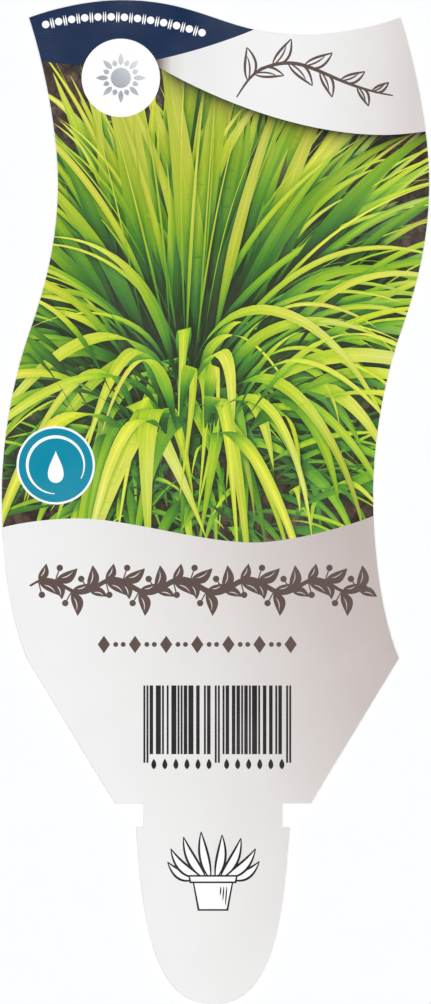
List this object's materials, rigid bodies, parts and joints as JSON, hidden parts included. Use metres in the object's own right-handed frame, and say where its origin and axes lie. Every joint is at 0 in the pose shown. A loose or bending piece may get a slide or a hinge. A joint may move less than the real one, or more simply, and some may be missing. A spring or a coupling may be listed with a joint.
{
  "type": "plant label",
  "caption": "Stick-in plant label: a thin plastic sheet with wavy sides, shoulders that sit on a pot's rim, and a tongue that hooks into the rim's slot.",
  "frame": {"origin": "middle of the sheet's bounding box, on the surface that its back lies on", "axes": "+X to the label's right as it is read, +Y to its top edge, +Z out of its printed face"},
  "size_m": [0.0728, 0.171, 0.0005],
  "materials": {
    "label_plastic": "smooth white polypropylene sheet",
    "picture_ink": "varnished full-colour print of leafy grass",
    "pale_ink": "varnished print that shades from near white to warm grey",
    "navy_ink": "varnished navy print",
    "white_ink": "varnished white print",
    "silver_ink": "varnished print that shades from silver grey to pale grey",
    "teal_ink": "varnished teal print",
    "brown_ink": "varnished warm grey-brown line print",
    "dark_ink": "varnished near-black print"
  },
  "bodies": {
    "root": {"label_sheet": "label_plastic"}
  },
  "joints": []
}
